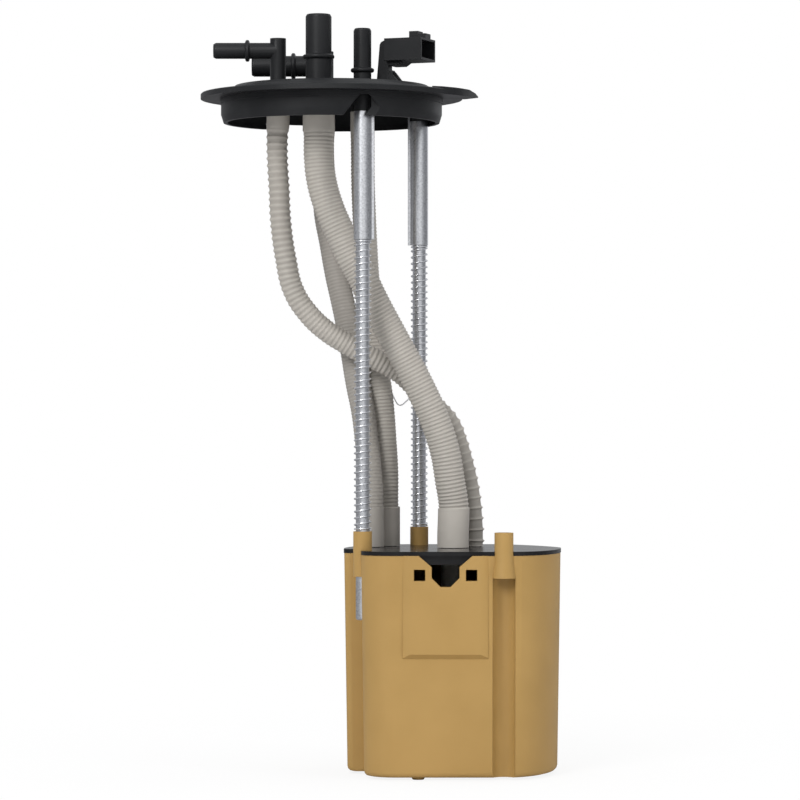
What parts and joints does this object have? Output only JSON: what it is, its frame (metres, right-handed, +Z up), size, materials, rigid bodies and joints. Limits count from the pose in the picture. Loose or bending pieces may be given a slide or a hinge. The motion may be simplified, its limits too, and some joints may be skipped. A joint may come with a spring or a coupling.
{
  "type": "fuel tank sending unit",
  "caption": "Fuel tank sending unit: round cover with hose ports and plug socket, sprung guide rods, corrugated hoses and a sliding reservoir with a float arm.",
  "frame": {"origin": "on the cover's axis, in the plane of the lip's underside, which seats on the tank", "axes": "+Z up along the cover's axis, the object's longest extent; +X to the side on which the reservoir hangs; the front, with the spare boss, faces -Y"},
  "size_m": [0.2155, 0.157, 0.4498],
  "materials": {
    "black_nylon": "moulded, satin",
    "terminal_metal": "plated",
    "zinc_steel": "zinc plated",
    "spring_steel": "drawn wire, plated",
    "hose_nylon": "extruded, matte",
    "lead_jacket": "extruded",
    "tan_acetal": "moulded, satin",
    "black_acetal": "moulded, glossy",
    "natural_plastic": "moulded",
    "strainer_mesh": "woven nylon mesh",
    "valve_rubber": "matte",
    "card_ceramic": "printed ceramic",
    "float_foam": "closed cell foam"
  },
  "bodies": {
    "flange": {"flange_cover": "black_nylon", "small_elbow_port": "black_nylon", "rear_elbow_port": "black_nylon", "large_port": "black_nylon", "middle_port": "black_nylon", "plug_housing": "black_nylon", "plug_terminals": "terminal_metal", "front_guide_rod": "zinc_steel", "rear_guide_rod": "zinc_steel", "front_rod_sleeve": "zinc_steel", "rear_rod_sleeve": "zinc_steel", "front_spring": "spring_steel", "rear_spring": "spring_steel", "rod_clips": "spring_steel", "small_hose": "hose_nylon", "large_hose": "hose_nylon", "rear_hose": "hose_nylon", "middle_hose": "hose_nylon", "sender_lead": "lead_jacket"},
    "reservoir": {"reservoir_cup": "tan_acetal", "reservoir_lid": "black_acetal", "pickup_tube": "natural_plastic", "pickup_strainer": "strainer_mesh", "jet_pump": "black_acetal", "foot_valve": "valve_rubber", "sender_body": "black_acetal", "resistor_card": "card_ceramic"},
    "float_arm": {"float_arm": "spring_steel", "sender_hub": "natural_plastic", "wiper": "terminal_metal"},
    "float": {"float": "float_foam"}
  },
  "joints": [
    {"name": "reservoir_slide", "type": "slide", "parent": "flange", "child": "reservoir", "axis": [0, 0, 1], "range_m": [0, 0.06], "stiffness_N_per_m": 600, "springref_m": -0.05, "deforming": ["front_spring", "rear_spring", "small_hose", "large_hose", "rear_hose", "middle_hose", "sender_lead"]},
    {"name": "float_lift", "type": "hinge", "parent": "reservoir", "child": "float_arm", "pos_m": [0.095, 0.0446, -0.3047], "axis": [0, 1, 0], "range_deg": [0, 90]},
    {"name": "float_spin", "type": "hinge", "parent": "float_arm", "child": "float", "pos_m": [0.04625, 0.0606, -0.37433], "axis": [0, 1, 0], "continuous": true}
  ]
}
